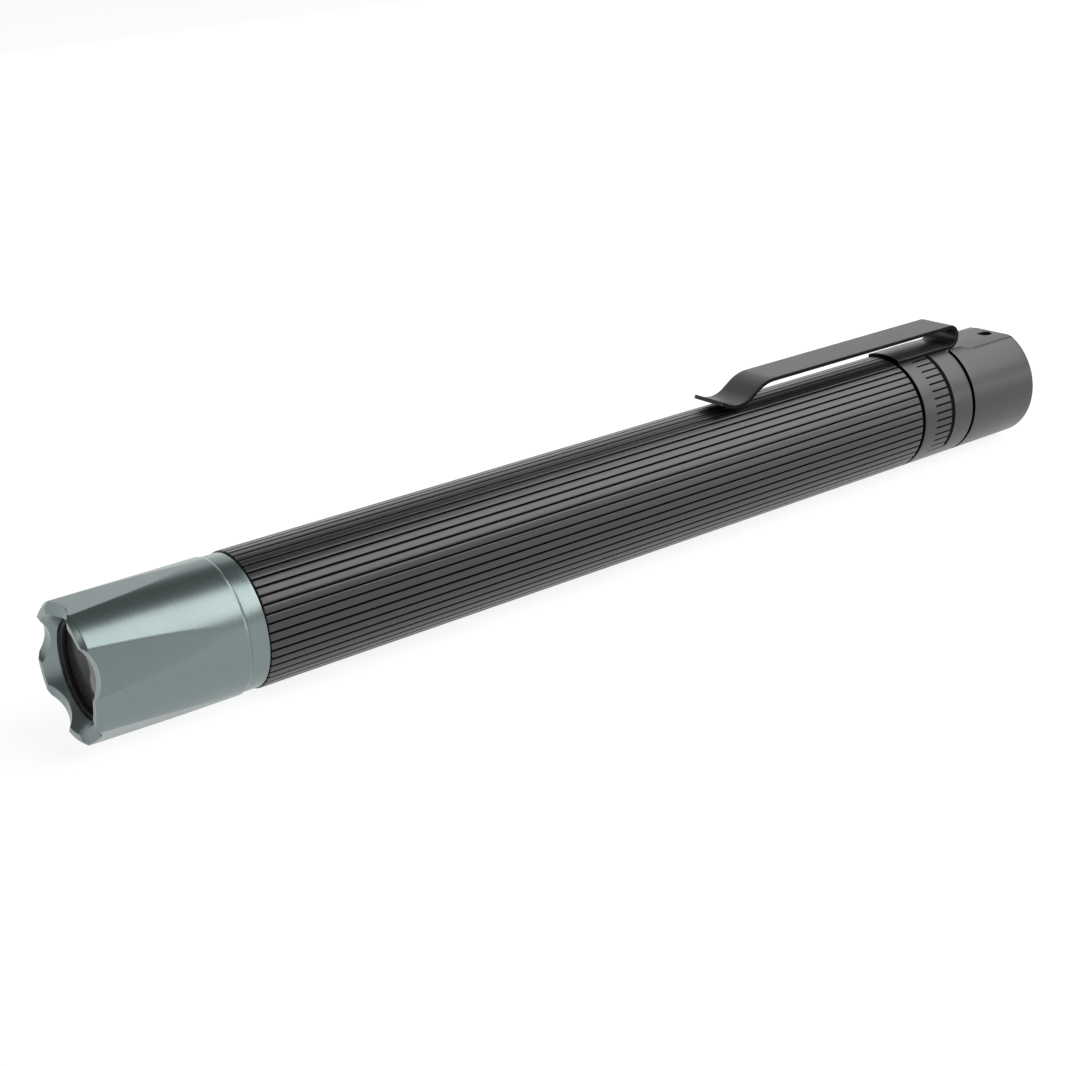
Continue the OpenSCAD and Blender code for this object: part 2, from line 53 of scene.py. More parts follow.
# Everything below is measured in millimetres from the bezel's rim, along the light,
# across it and up from its axis. place() turns that into the frame's metres.
mm = 0.001
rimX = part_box("bezel")[0].x
axisZ = (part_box("body_tube")[0].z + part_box("body_tube")[1].z) / 2


# An end of -1 is the node's front end, and 1 its rear end
def along(node, end):
    return (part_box(node)[0 if end < 0 else 1].x - rimX) / mm


def place(points):
    out = np.asarray(points, float) * mm
    return out + np.array([rimX, 0, axisZ])


bodyR = (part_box("body_tube")[1].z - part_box("body_tube")[0].z) / 2 / mm
tubeFront = along("body_tube", -1)
tubeBack = along("body_tube", 1)
bezelBack = along("bezel", 1)
capFront = along("tail_cap", -1)
tailEnd = along("tail_cap", 1)
clipTop = (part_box("clip_arm")[1].z - axisZ) / mm
flatTop = (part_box("clip_foot")[0].z - axisZ) / mm
clipHalf = (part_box("clip_arm")[1].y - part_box("clip_arm")[0].y) / 2 / mm


# Mesh helpers

def looseMesh(name, points, faces):
    mesh = bpy.data.meshes.new(name)
    mesh.from_pydata([tuple(p) for p in place(points)], [], faces)
    work = bmesh.new()
    work.from_mesh(mesh)
    bmesh.ops.remove_doubles(work, verts=work.verts, dist=2e-7)
    bmesh.ops.dissolve_degenerate(work, edges=work.edges, dist=1e-7)
    bmesh.ops.recalc_face_normals(work, faces=work.faces)
    work.to_mesh(mesh)
    work.free()
    made = bpy.data.objects.new(name, mesh)
    bpy.context.scene.collection.objects.link(made)
    return made


# Takes the cutters' shapes out of a piece for good, and removes the cutters
def cutOut(piece, cutters):
    for cutter in cutters:
        modifier = piece.modifiers.new("cut", "BOOLEAN")
        modifier.operation = "DIFFERENCE"
        modifier.solver = "EXACT"
        modifier.object = cutter
    if cutters:
        ready = piece.evaluated_get(bpy.context.evaluated_depsgraph_get())
        cut = bpy.data.meshes.new_from_object(ready)
        piece.modifiers.clear()
        piece.data = cut
    for cutter in cutters:
        bpy.data.objects.remove(cutter)


# The last argument, if given, is (finish, from radius, to radius, from x, to x) for faces that lie deeper
# than the skin; they get that darker finish, which is painted shade in grooves and gaps
def meshPiece(name, points, faces, body, finish, sharp=32, cutters=(), paintedShadeBand=None):
    piece = looseMesh(name, points, faces)
    cutOut(piece, cutters)
    piece.data.shade_smooth()
    piece.data.set_sharp_from_angle(angle=math.radians(sharp))
    piece.data.materials.clear()
    piece.data.materials.append(finish)
    if paintedShadeBand:
        paintedShadeFinish, lowR, highR, lowX, highX = paintedShadeBand
        piece.data.materials.append(paintedShadeFinish)
        for face in piece.data.polygons:
            x = (face.center.x - rimX) / mm
            r = math.hypot(face.center.y, face.center.z - axisZ) / mm
            face.material_index = 1 if lowR < r < highR and lowX < x < highX else 0
    if body:
        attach(piece, body)
    return piece


def gridFaces(rows, cols, loopRows, loopCols):
    faces = []
    for i in range(rows if loopRows else rows - 1):
        a, b = i * cols, ((i + 1) % rows) * cols
        for j in range(cols if loopCols else cols - 1):
            k = (j + 1) % cols
            faces.append((a + j, a + k, b + k, b + j))
    return faces


# A ring of points round the axis for each (x, r) of the outline, which shape may bend by angle
def turnedGrid(outline, angles, shape=None):
    x = np.array([p[0] for p in outline], float)[:, None]
    r = np.array([p[1] for p in outline], float)[:, None]
    a = np.asarray(angles, float)[None, :]
    x, r, a = np.broadcast_arrays(x, r, a)
    if shape:
        x, r = shape(x.copy(), r.copy(), a)
    return np.stack([x, -r * np.sin(a), r * np.cos(a)], axis=-1)


def turnedPiece(name, outline, angles, body, finish, shape=None, closed=True, cutters=(),
                paintedShadeBand=None):
    grid = turnedGrid(outline, angles, shape)
    rows, cols = grid.shape[:2]
    return meshPiece(name, grid.reshape(-1, 3), gridFaces(rows, cols, closed, True), body, finish,
                     cutters=cutters, paintedShadeBand=paintedShadeBand)


def evenAngles(count):
    return np.arange(count) * 2 * math.pi / count


# Corners are (x, r) or (x, r, fillet radius), and the outline is a closed loop
def filleted(corners, steps=4):
    out = []
    for i, corner in enumerate(corners):
        here = Vector(corner[:2])
        radius = corner[2] if len(corner) > 2 else 0
        back = Vector(corners[i - 1][:2]) - here
        ahead = Vector(corners[(i + 1) % len(corners)][:2]) - here
        if radius <= 0 or back.length < 1e-6 or ahead.length < 1e-6:
            out.append(tuple(here))
            continue
        half = back.angle(ahead) / 2
        reach = min(radius / math.tan(half), back.length * 0.45, ahead.length * 0.45)
        start = here + back.normalized() * reach
        end = here + ahead.normalized() * reach
        for s in range(steps + 1):
            t = s / steps
            out.append(tuple(start * (1 - t) ** 2 + here * 2 * t * (1 - t) + end * t * t))
    return out


# Splits the long sides of an outline; step is a length, or a function of a side's lowest x and
# highest r
def divided(outline, step, closed=True):
    out = []
    last = len(outline) if closed else len(outline) - 1
    for i in range(last):
        a, b = Vector(outline[i]), Vector(outline[(i + 1) % len(outline)])
        size = step(min(a.x, b.x), max(a.y, b.y)) if callable(step) else step
        parts = max(1, math.ceil((b - a).length / size))
        out += [tuple(a.lerp(b, k / parts)) for k in range(parts)]
    if not closed:
        out.append(tuple(outline[-1]))
    return out


def softMin(a, b, blend):
    h = np.clip(0.5 + 0.5 * (b - a) / blend, 0, 1)
    return b * (1 - h) + a * h - blend * h * (1 - h)


def softMax(a, b, blend):
    return -softMin(-a, -b, blend)


def ramp(value, low, high):
    t = np.clip((value - low) / (high - low), 0, 1)
    return t * t * (3 - 2 * t)


# Material helpers

def newMaterial(name):
    material = bpy.data.materials.new(name)
    material.use_nodes = True
    nodes = material.node_tree.nodes
    nodes.clear()
    output = nodes.new("ShaderNodeOutputMaterial")
    shader = nodes.new("ShaderNodeBsdfPrincipled")
    material.node_tree.links.new(shader.outputs["BSDF"], output.inputs["Surface"])
    return material, nodes, material.node_tree.links, shader


def stretchedNoise(nodes, links, scale, detail=3.0, rough=0.6):
    where = nodes.new("ShaderNodeTexCoord")
    mapping = nodes.new("ShaderNodeMapping")
    mapping.inputs["Scale"].default_value = scale
    noise = nodes.new("ShaderNodeTexNoise")
    noise.inputs["Scale"].default_value = 1.0
    noise.inputs["Detail"].default_value = detail
    noise.inputs["Roughness"].default_value = rough
    links.new(where.outputs["Object"], mapping.inputs["Vector"])
    links.new(mapping.outputs["Vector"], noise.inputs["Vector"])
    return noise


def mappedRange(nodes, links, source, low, high, fromLow=0.3, fromHigh=0.7):
    node = nodes.new("ShaderNodeMapRange")
    node.inputs["From Min"].default_value = fromLow
    node.inputs["From Max"].default_value = fromHigh
    node.inputs["To Min"].default_value = low
    node.inputs["To Max"].default_value = high
    links.new(source, node.inputs["Value"])
    return node.outputs["Result"]


def mixedColour(nodes, links, factor, first, second):
    mix = nodes.new("ShaderNodeMix")
    mix.data_type = "RGBA"
    mix.inputs["A"].default_value = (*first, 1)
    mix.inputs["B"].default_value = (*second, 1)
    links.new(factor, mix.inputs["Factor"])
    return mix.outputs["Result"]


def bumped(nodes, links, shader, height, depth):
    bump = nodes.new("ShaderNodeBump")
    bump.inputs["Strength"].default_value = 1.0
    bump.inputs["Distance"].default_value = depth
    links.new(height, bump.inputs["Height"])
    links.new(bump.outputs["Normal"], shader.inputs["Normal"])


# Colour, gloss and fine relief of one finish, from three noises: cloud, grain and turning marks
def surface(name, look):
    material, nodes, links, shader = newMaterial(name)
    shader.inputs["Metallic"].default_value = look.get("metallic", 0.0)
    shader.inputs["IOR"].default_value = look.get("ior", 1.5)
    shader.inputs["Specular IOR Level"].default_value = look.get("specular", 0.5)
    shader.inputs["Coat Weight"].default_value = look.get("coat", 0.0)
    shader.inputs["Coat Roughness"].default_value = 0.3
    cloud = stretchedNoise(nodes, links, (look["cloud"],) * 3)
    grain = stretchedNoise(nodes, links, (look["grain"],) * 3, 2.0)
    links.new(mixedColour(nodes, links, mappedRange(nodes, links, cloud.outputs["Fac"], 0, 1),
                          look["dark"], look["light"]), shader.inputs["Base Color"])
    low, high = look["rough"]
    lines = stretchedNoise(nodes, links, look["lines"], 4.0)
    both = nodes.new("ShaderNodeMath")
    both.operation = "ADD"
    links.new(mappedRange(nodes, links, grain.outputs["Fac"], 0, look["grainPart"]), both.inputs[0])
    links.new(mappedRange(nodes, links, lines.outputs["Fac"], 0, 1 - look["grainPart"]), both.inputs[1])
    links.new(mappedRange(nodes, links, both.outputs["Value"], low, high, 0.1, 0.9),
              shader.inputs["Roughness"])
    bumped(nodes, links, shader, both.outputs["Value"], look["relief"])
    return material


looks = {
    "tealAnodised": {"dark": (0.188, 0.232, 0.229), "light": (0.21, 0.258, 0.255), "metallic": 1.0,
                     "rough": (0.26, 0.32), "cloud": 60, "grain": 9000, "lines": (26000, 260, 260),
                     "grainPart": 0.6, "relief": 3e-7},
    "tubeAnodised": {"dark": (0.009, 0.009, 0.0096), "light": (0.014, 0.014, 0.0147), "ior": 1.68,
                     "rough": (0.28, 0.38), "cloud": 70, "grain": 7000, "lines": (22000, 240, 240),
                     "grainPart": 0.5, "relief": 1.2e-6},
    "tailAnodised": {"dark": (0.011, 0.011, 0.0117), "light": (0.017, 0.017, 0.0178), "ior": 1.68,
                     "rough": (0.3, 0.4), "cloud": 70, "grain": 7000, "lines": (24000, 240, 240),
                     "grainPart": 0.4, "relief": 1.2e-6},
    # Near-black finish that paints the shade in grooves, ticks and gaps between parts, not a colour of the
    # parts
    "paintedGrooveShade": {"dark": (0.002, 0.002, 0.002), "light": (0.004, 0.004, 0.004), "rough": (0.55, 0.7),
                    "specular": 0.1, "cloud": 120, "grain": 7000, "lines": (20000, 300, 300),
                    "grainPart": 0.5, "relief": 1.5e-6},
    "clipCoating": {"dark": (0.02, 0.02, 0.0207), "light": (0.029, 0.029, 0.0298), "ior": 1.68,
                    "rough": (0.34, 0.46), "cloud": 90, "grain": 11000, "lines": (400, 9000, 400),
                    "grainPart": 0.75, "relief": 2.2e-6},
    # Near-black finish for the clip's side faces and the leg's front end: painted shade, not a colour of
    # the strip
    "paintedEdgeShade": {"dark": (0.003, 0.003, 0.003), "light": (0.005, 0.005, 0.005), "rough": (0.45, 0.6),
                "specular": 0.1, "cloud": 120, "grain": 9000, "lines": (9000, 9000, 300),
                "grainPart": 0.6, "relief": 1.5e-6},
    "blackRubber": {"dark": (0.012, 0.012, 0.012), "light": (0.02, 0.02, 0.02), "rough": (0.5, 0.7),
                    "cloud": 120, "grain": 6000, "lines": (3000, 3000, 3000), "grainPart": 0.7,
                    "relief": 4e-6},
    "buttonRubber": {"dark": (0.016, 0.016, 0.017), "light": (0.024, 0.024, 0.025), "rough": (0.55, 0.75),
                     "cloud": 150, "grain": 5000, "lines": (4000, 4000, 4000), "grainPart": 0.8,
                     "relief": 6e-6},
    "innerBlack": {"dark": (0.012, 0.012, 0.013), "light": (0.02, 0.02, 0.021), "rough": (0.45, 0.6),
                   "cloud": 100, "grain": 5000, "lines": (9000, 300, 300), "grainPart": 0.5,
                   "relief": 3e-6},
    "springWire": {"dark": (0.45, 0.44, 0.42), "light": (0.56, 0.55, 0.53), "metallic": 1.0,
                   "rough": (0.22, 0.34), "cloud": 200, "grain": 8000, "lines": (5000, 5000, 5000),
                   "grainPart": 0.5, "relief": 1e-6},
    "turnedMetal": {"dark": (0.52, 0.52, 0.53), "light": (0.6, 0.6, 0.61), "metallic": 1.0,
                    "rough": (0.25, 0.38), "cloud": 120, "grain": 7000, "lines": (20000, 300, 300),
                    "grainPart": 0.3, "relief": 1.5e-6},
    "lampBoard": {"dark": (0.62, 0.63, 0.61), "light": (0.72, 0.73, 0.71), "rough": (0.4, 0.55),
                  "cloud": 300, "grain": 6000, "lines": (4000, 4000, 4000), "grainPart": 0.6,
                  "relief": 2e-6},
    "lampPhosphor": {"dark": (0.6, 0.42, 0.06), "light": (0.75, 0.55, 0.1), "rough": (0.15, 0.25),
                     "cloud": 700, "grain": 9000, "lines": (5000, 5000, 5000), "grainPart": 0.6,
                     "relief": 1e-6, "coat": 0.6},
    "wireSleeve": {"dark": (0.3, 0.012, 0.01), "light": (0.42, 0.02, 0.015), "rough": (0.3, 0.42),
                   "cloud": 300, "grain": 6000, "lines": (9000, 300, 300), "grainPart": 0.5,
                   "relief": 1e-6},
    "boardMask": {"dark": (0.006, 0.07, 0.025), "light": (0.012, 0.11, 0.04), "rough": (0.28, 0.42),
                  "cloud": 900, "grain": 8000, "lines": (4000, 4000, 4000), "grainPart": 0.6,
                  "relief": 2e-6},
    "cellSleeve": {"dark": (0.03, 0.08, 0.13), "light": (0.045, 0.11, 0.17), "rough": (0.22, 0.32),
                   "cloud": 60, "grain": 5000, "lines": (3000, 3000, 3000), "grainPart": 0.6,
                   "relief": 1e-6, "coat": 0.4},
    "switchNylon": {"dark": (0.55, 0.53, 0.47), "light": (0.63, 0.61, 0.55), "rough": (0.4, 0.55),
                    "cloud": 300, "grain": 6000, "lines": (4000, 4000, 4000), "grainPart": 0.6,
                    "relief": 2e-6},
}
finishes = {name: surface(name, look) for name, look in looks.items()}


# Smoky glass with faint smears
glassLook = {"tint": (0.52, 0.47, 0.475), "clear": 0.8, "ior": 1.4, "rough": (0.02, 0.07),
             "smears": (240, 90, 300)}


def lensGlass():
    material, nodes, links, shader = newMaterial("lensGlass")
    shader.inputs["Base Color"].default_value = (*glassLook["tint"], 1)
    shader.inputs["Transmission Weight"].default_value = glassLook["clear"]
    shader.inputs["IOR"].default_value = glassLook["ior"]
    smears = stretchedNoise(nodes, links, glassLook["smears"], 3.0)
    links.new(mappedRange(nodes, links, smears.outputs["Fac"], *glassLook["rough"]),
              shader.inputs["Roughness"])
    return material


finishes["lensGlass"] = lensGlass()
print("finishes made:", len(finishes))

# The CAD nodes that keep their own mesh, and their finishes
nodeFinishes = {
    "lens_retainer": "innerBlack", "focus_seal_ring": "blackRubber", "stop_ring": "springWire",
    "led_board": "lampBoard", "led_emitter": "lampPhosphor", "led_wires": "wireSleeve",
    "driver_board": "boardMask", "driver_parts": "innerBlack", "driver_ring": "turnedMetal",
    "front_spring": "springWire", "neck_seal_ring": "blackRubber", "cell_front": "cellSleeve",
    "cell_rear": "cellSleeve", "tail_seal_ring": "blackRubber", "tail_spring": "springWire",
    "switch_board": "boardMask", "switch_body": "innerBlack", "switch_plunger": "switchNylon",
    "switch_ring": "turnedMetal", "button_seal": "blackRubber",
}
for nodeName, finishName in nodeFinishes.items():
    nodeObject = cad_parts[nodeName]
    nodeObject.data.materials.clear()
    nodeObject.data.materials.append(finishes[finishName])


# Bezel: a turned shell with flat facets and a scallop in front of each
bezel = {
    "facets": 5,
    "facetDepth": 0.53,
    "facetLength": 15.7,
    "scallopR": 4.75,
    "scallopDepth": 1.18,
    "chamfer": 0.55,
    "land": 0.85,
    "lipR": 6.16,
    "coneDepth": 1.76,
    "lip": 2.1,
    "boreR": 7.26,
    "sleeveBoreR": 7.06,
    "stop": 17.76,
    "rearEdge": 0.1,
    "rearRoll": 0.35,
    "softEdge": 0.045,
    "anglesPerFacet": 120,
    "tip": 3.0,        # the scallops shape what lies ahead of this
    "skin": 0.3,       # the facets shape what lies this far outside the bore
    "step": 0.1,
    "boreStep": 5.0,
}


def bezelShape(x, r, a):
    b = bezel
    pitch = 2 * math.pi / b["facets"]
    off = (a + pitch / 2) % pitch - pitch / 2
    outer = r > b["boreR"] + b["skin"]
    rise = b["facetDepth"] / b["facetLength"]
    facetR = (bodyR - b["facetDepth"] + (x - b["chamfer"]) * rise) / np.cos(off)
    r = np.where(outer, softMin(r, facetR, b["softEdge"]), r)
    across = r * np.sin(off)
    cut = b["scallopDepth"] - b["scallopR"] + np.sqrt(np.maximum(b["scallopR"] ** 2 - across ** 2, 0))
    x = np.where(x < b["tip"], softMax(x, cut, b["softEdge"]), x)
    return x, r


# Fine steps where the facets and scallops shape the shell, and long ones in its bore
def bezelStep(x, r):
    b = bezel
    outside = r > b["boreR"] + b["skin"] and x < b["stop"]
    return b["step"] if outside or x < b["coneDepth"] else b["boreStep"]


def makeBezel():
    b = bezel
    corners = [
        (bezelBack, b["sleeveBoreR"], 0.08), (bezelBack, bodyR - b["rearEdge"], 0.03),
        (bezelBack - b["rearRoll"], bodyR, 0.3), (b["chamfer"], bodyR, 0.12),
        (0, bodyR - b["chamfer"], 0.12), (0, bodyR - b["chamfer"] - b["land"], 0.1),
        (b["coneDepth"], b["lipR"], 0.1), (b["lip"], b["lipR"], 0.05), (b["lip"], b["boreR"]),
        (b["stop"], b["boreR"]), (b["stop"], b["sleeveBoreR"], 0.05),
    ]
    outline = divided(filleted(corners), bezelStep)
    piece = turnedPiece("bezelShell", outline, evenAngles(b["facets"] * b["anglesPerFacet"]), "bezel",
                        finishes["tealAnodised"], bezelShape)
    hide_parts("bezel")


makeBezel()
print("bezel made")

# Lens, its gasket, and the neck that the bezel slides on
neckFront = along("neck", -1)
lens = {"front": along("lens", -1), "rim": 1.2, "r": 7.2, "backR": 5.4, "backHeight": 2.6, "edge": 0.12,
        "sides": 160}
gasket = {"front": along("lens_gasket", -1), "back": along("lens_gasket", 1), "outR": 7.2, "inR": 5.85,
          "bead": 0.22, "sides": 160}
neck = {
    "front": neckFront, "sleeveR": 7.0, "flangeFront": bezelBack + 0.05, "flangeR": 8.62,
    "flangeGap": 0.1, "shoulderR": 8.17, "spigotR": 7.85, "spigotEnd": along("neck", 1),
    "threadDepth": 0.32, "threadPitch": 1.0, "threadFromR": 7.5, "pocketR": 6.3,
    "pocketEnd": neckFront + 3.6, "floorEnd": neckFront + 5.6, "cavityR": 5.7,
    "driverSeat": along("driver_board", -1), "sealX": neckFront + 4.6, "sealSeatR": 6.22,
    "sealSeatW": 1.2, "rearSealX": tubeFront + 1.5, "rearSealSeatR": 6.86, "ringX": neckFront + 5.98,
    "ringEnd": neckFront + 6.72, "ringSeatR": 6.55, "threadStep": 0.1, "step": 1.0, "sides": 192,
}


def makeLens():
    g = lens
    back = g["front"] + g["rim"]
    ball = (g["backR"] ** 2 + g["backHeight"] ** 2) / (2 * g["backHeight"])
    sweep = math.asin(g["backR"] / ball)
    dome = [(back + g["backHeight"] - ball + ball * math.cos(t), ball * math.sin(t))
            for t in np.linspace(0, sweep, 24)]
    rim = filleted([(back, g["backR"]), (back, g["r"], g["edge"]), (g["front"], g["r"], g["edge"]),
                    (g["front"], 0)])
    outline = dome[:-1] + rim
    piece = turnedPiece("lensGlassDisc", outline, evenAngles(g["sides"]), "bezel",
                        finishes["lensGlass"], closed=False)
    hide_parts("lens")


def makeGasket():
    g = gasket
    corners = [(g["front"], g["inR"] + g["bead"], 0.15), (g["front"] + 0.12, g["inR"], 0.2),
               (g["back"] - 0.05, g["inR"], 0.2), (g["back"], g["inR"] + g["bead"], 0.1),
               (g["back"], g["outR"], 0.05), (g["front"], g["outR"], 0.05)]
    piece = turnedPiece("lensSealRing", filleted(corners), evenAngles(g["sides"]), "bezel",
                        finishes["blackRubber"])
    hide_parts("lens_gasket")


# Cuts a screw thread into what lies between start and end, and fades it out at both ends
def threadShape(start, end, pitch, depth):
    def shape(x, r, a):
        turn = (x / pitch - a / (2 * math.pi)) % 1.0
        groove = 1 - np.abs(turn - 0.5) * 2
        fade = ramp(x, start, start + pitch * 0.6) * (1 - ramp(x, end - pitch * 0.6, end))
        return x, r - depth * ramp(groove, 0.15, 0.75) * fade
    return shape


# Applies a shape to the points outside innerLimit only
def outerOnly(shape, innerLimit):
    def limited(x, r, a):
        newX, newR = shape(x, r, a)
        outside = r > innerLimit
        return np.where(outside, newX, x), np.where(outside, newR, r)
    return limited


def makeNeck():
    n = neck
    half = n["sealSeatW"] / 2
    corners = [
        (n["front"], n["pocketR"], 0.1), (n["front"], n["sleeveR"], 0.12),
        (n["sealX"] - half, n["sleeveR"], 0.05), (n["sealX"] - half, n["sealSeatR"]),
        (n["sealX"] + half, n["sealSeatR"]), (n["sealX"] + half, n["sleeveR"], 0.05),
        (n["ringX"], n["sleeveR"], 0.04), (n["ringX"], n["ringSeatR"]), (n["ringEnd"], n["ringSeatR"]),
        (n["ringEnd"], n["sleeveR"], 0.04), (n["flangeFront"], n["sleeveR"], 0.05),
        (n["flangeFront"], n["flangeR"], 0.03), (tubeFront - n["flangeGap"], n["flangeR"], 0.07),
        (tubeFront - n["flangeGap"], n["shoulderR"], 0.03), (tubeFront, n["shoulderR"]),
        (tubeFront, n["spigotR"]),
        (n["rearSealX"] - half, n["spigotR"]), (n["rearSealX"] - half, n["rearSealSeatR"]),
        (n["rearSealX"] + half, n["rearSealSeatR"]), (n["rearSealX"] + half, n["spigotR"]),
        (n["spigotEnd"], n["spigotR"], 0.1), (n["spigotEnd"], n["pocketR"], 0.1),
        (n["driverSeat"], n["pocketR"]), (n["driverSeat"], n["cavityR"]), (n["floorEnd"], n["cavityR"]),
        (n["floorEnd"], 0.01), (n["pocketEnd"], 0.01), (n["pocketEnd"], n["pocketR"]),
    ]
    threadStart = n["rearSealX"] + half
    thread = threadShape(threadStart, n["spigotEnd"], n["threadPitch"], n["threadDepth"])
    nearThread = threadStart - 2 * n["threadStep"]
    outline = divided(filleted(corners),
                      lambda x, r: n["threadStep"] if x > nearThread and r > n["pocketR"] else n["step"])
    piece = turnedPiece("neckSleeve", outline, evenAngles(n["sides"]), "barrel",
                        finishes["tealAnodised"], outerOnly(thread, n["threadFromR"]))
    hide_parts("neck")


makeLens()
makeGasket()
makeNeck()
print("lens and neck made")

# Tube: lengthwise grooves with softened edges, and a wider bore inside each end
tube = {
    "grooves": 48, "turn": math.radians(1.5), "width": 0.25, "depth": 0.26, "soft": 0.05,
    "dip": 0.02, "endEdge": 0.2, "boreR": 7.4, "endBoreR": 7.9, "frontBore": 5.8, "rearBore": 6.8,
    "step": 2.5,
}


def grooveAngles():
    t = tube
    pitch = 2 * math.pi / t["grooves"]
    half = t["width"] / 2 / bodyR
    soft = t["soft"] / bodyR
    offsets = [-half - soft * 1.5, -half - soft * 0.4, -half, -half * 0.7, half * 0.7, half,
               half + soft * 0.4, half + soft * 1.5]
    land = np.linspace(half + soft * 1.5, pitch - half - soft * 1.5, 6)[1:-1]
    one = np.sort(np.concatenate([offsets, land]))
    return np.sort(np.concatenate([one + t["turn"] + k * pitch for k in range(t["grooves"])]))


def tubeShape(x, r, a):
    t = tube
    pitch = 2 * math.pi / t["grooves"]
    off = np.abs((a - t["turn"] + pitch / 2) % pitch - pitch / 2) * bodyR
    half = t["width"] / 2
    sink = t["depth"] * (1 - ramp(off, half * 0.7, half + t["soft"] * 0.5))
    sink = sink + t["dip"] * (1 - ramp(off, half, half + t["soft"] * 1.5))
    outside = r > bodyR - t["depth"] - 0.05
    return x, np.where(outside, np.minimum(r, bodyR - sink), r)


def makeTube():
    t = tube
    e = t["endEdge"]
    corners = [
        (tubeFront, t["endBoreR"], 0.1), (tubeFront, bodyR - e / 2, 0.03), (tubeFront + e / 2, bodyR, 0.05),
        (tubeBack - e, bodyR, 0.08), (tubeBack, bodyR - e, 0.04), (tubeBack, t["endBoreR"], 0.1),
        (tubeBack - t["rearBore"], t["endBoreR"]), (tubeBack - t["rearBore"], t["boreR"]),
        (tubeFront + t["frontBore"], t["boreR"]), (tubeFront + t["frontBore"], t["endBoreR"]),
    ]
    outline = divided(filleted(corners), t["step"])
    # The faces in the grooves and on the end chamfers get the near-black finish: painted shade
    paintedShadeBand = (finishes["paintedGrooveShade"], bodyR - t["depth"] - 0.1, bodyR - 0.1, tubeFront, tubeBack)
    piece = turnedPiece("groovedTube", outline, grooveAngles(), "barrel",
                        finishes["tubeAnodised"], tubeShape, paintedShadeBand=paintedShadeBand)
    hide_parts("body_tube")


makeTube()
print("tube made")

# Cutters for the clip's slot, the flat and the lanyard hole: a plan outline that stands at height low,
# with sides that lean out a little where they leave the round body
def planCutter(name, outline, low, bodySkin, flare=0.05, top=3.0):
    plan = [Vector(p) for p in outline]
    count = len(plan)
    rings = [[], [], [], []]
    for i, here in enumerate(plan):
        before = (here - plan[i - 1]).normalized()
        after = (plan[(i + 1) % count] - here).normalized()
        out = Vector((before.y + after.y, -before.x - after.x)).normalized()
        rim = max(math.sqrt(max(bodySkin ** 2 - here.y ** 2, 0)), low + 2 * flare)
        wide = here + out * 2 * flare
        rings[0].append((here.x, here.y, low))
        rings[1].append((here.x, here.y, rim - flare))
        rings[2].append((wide.x, wide.y, rim + flare))
        rings[3].append((wide.x, wide.y, bodySkin + top))
    points = [p for ring in rings for p in ring]
    faces = gridFaces(4, count, False, True)
    faces += [tuple(range(count - 1, -1, -1)), tuple(range(3 * count, 4 * count))]
    return looseMesh(name, points, faces)


# Collar: ticks that end in a ring, the thread that screws into the tube, and the clip's slot
collar = {
    "bandFront": tubeBack + 0.5, "bandBack": capFront - 0.55, "gapR": 8.4, "sleeveR": 7.2,
    "sleeveEnd": capFront + 4.0, "boreR": 5.4, "seatR": 6.3, "seatX": tubeBack + 1.2, "spigotR": 7.85,
    "sealX": tubeBack - 1.5, "sealSeatR": 6.86, "sealSeatW": 1.2, "threadDepth": 0.3, "threadPitch": 1.0,
    "threadFromR": 7.5, "tickFront": tubeBack + 3.1, "tickDepth": 0.2, "tickSide": 17,
    "ringFront": tubeBack + 6.4, "ringBack": tubeBack + 6.9, "nearMark": 0.15, "markEdge": 0.04,
    "slotHalf": 3.15, "slotFront": capFront - 2.84, "seatUnderLegR": 8.65,
    "clearTurn": math.radians(22.7), "threadStep": 0.12, "step": 0.6, "boreStep": 5.0,
}


def collarShape(x, r, a):
    c, t = collar, tube
    pitch = 2 * math.pi / t["grooves"]
    turn = (a - t["turn"] + math.pi) % (2 * math.pi) - math.pi
    nearest = np.round(turn / pitch)
    off = np.abs(turn - nearest * pitch) * bodyR
    half = t["width"] / 2
    tick = (1 - ramp(off, half * 0.7, half + t["soft"] * 0.5)) * (np.abs(nearest) <= c["tickSide"])
    tick = tick * (np.abs(t["turn"] + nearest * pitch) > c["clearTurn"])
    tick = tick * ramp(x, c["tickFront"] - 0.03, c["tickFront"] + 0.06)
    tick = tick * (1 - ramp(x, c["ringFront"] + 0.2, c["ringFront"] + 0.3))
    reach = c["tickSide"] * pitch * bodyR
    ring = 1 - ramp(np.abs(turn) * bodyR, reach - 0.03, reach + 0.06)
    ring = ring * ramp(x, c["ringFront"] - 0.03, c["ringFront"] + 0.05)
    ring = ring * (1 - ramp(x, c["ringBack"] - 0.05, c["ringBack"] + 0.03))
    sink = c["tickDepth"] * np.maximum(tick, ring)
    outside = r > bodyR - 0.15
    return x, np.where(outside, np.minimum(r, bodyR - sink), r)


def collarAllShape(x, r, a):
    c = collar
    start = along("tail_collar", -1)
    end = c["sealX"] - c["sealSeatW"] / 2
    thread = threadShape(start, end, c["threadPitch"], c["threadDepth"])
    threadX, threadR = outerOnly(thread, c["threadFromR"])(x, r, a)
    bandX, bandR = collarShape(x, r, a)
    return bandX, np.where(x < tubeBack, threadR, bandR)


# Fine steps along the thread only, and long ones in the bore
def collarStep(x, r):
    c = collar
    if r < c["threadFromR"]:
        return c["boreStep"]
    return c["threadStep"] if x < tubeBack else c["step"]


